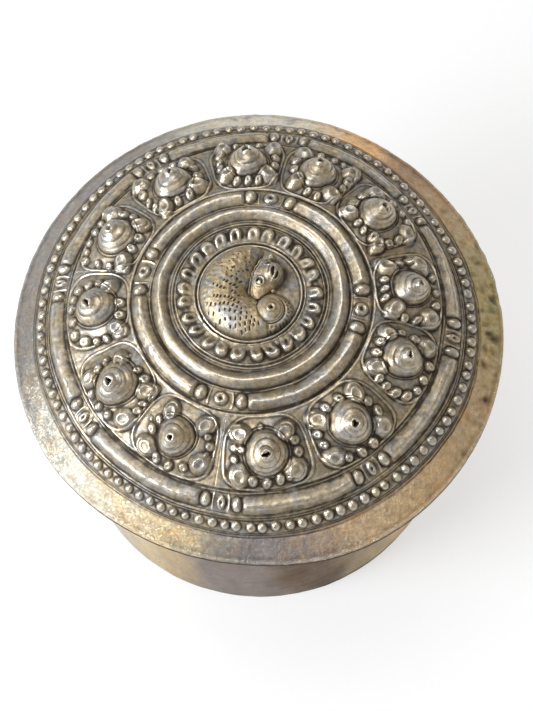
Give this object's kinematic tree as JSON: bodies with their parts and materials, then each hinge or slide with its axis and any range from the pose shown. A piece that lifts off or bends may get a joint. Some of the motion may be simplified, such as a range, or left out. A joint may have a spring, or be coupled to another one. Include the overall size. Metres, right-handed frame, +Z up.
{
  "type": "incense box",
  "caption": "Round silver box with a plain drum and a lift-off domed lid chased with pierced bosses in rosettes around a coiled beast.",
  "frame": {"origin": "middle of the flat underside, on the table", "axes": "+Z up along the drum's axis; +Y away from someone who looks at the lid's figure the right way up; +X to their right"},
  "size_m": [0.12, 0.12, 0.0929],
  "materials": {
    "chased_sheet": "worn tarnished silver, dark in the chased lines",
    "beast_sheet": "tarnished silver, yellowed, dark in the punched marks",
    "wall_sheet": "smooth worn silver with brown and yellow tarnish",
    "inner_strip": "dull grey silver",
    "base_sheet": "dull grey silver, scratched"
  },
  "bodies": {
    "box": {"body_wall": "wall_sheet", "mouth_wire": "inner_strip", "body_base": "base_sheet"},
    "lid": {"lid_shell": "chased_sheet", "coiled_beast": "beast_sheet", "lid_collar": "inner_strip"}
  },
  "joints": [
    {"name": "lid_lift", "type": "slide", "parent": "box", "child": "lid", "axis": [0, 0, 1], "range_m": [0, 0.06]}
  ]
}
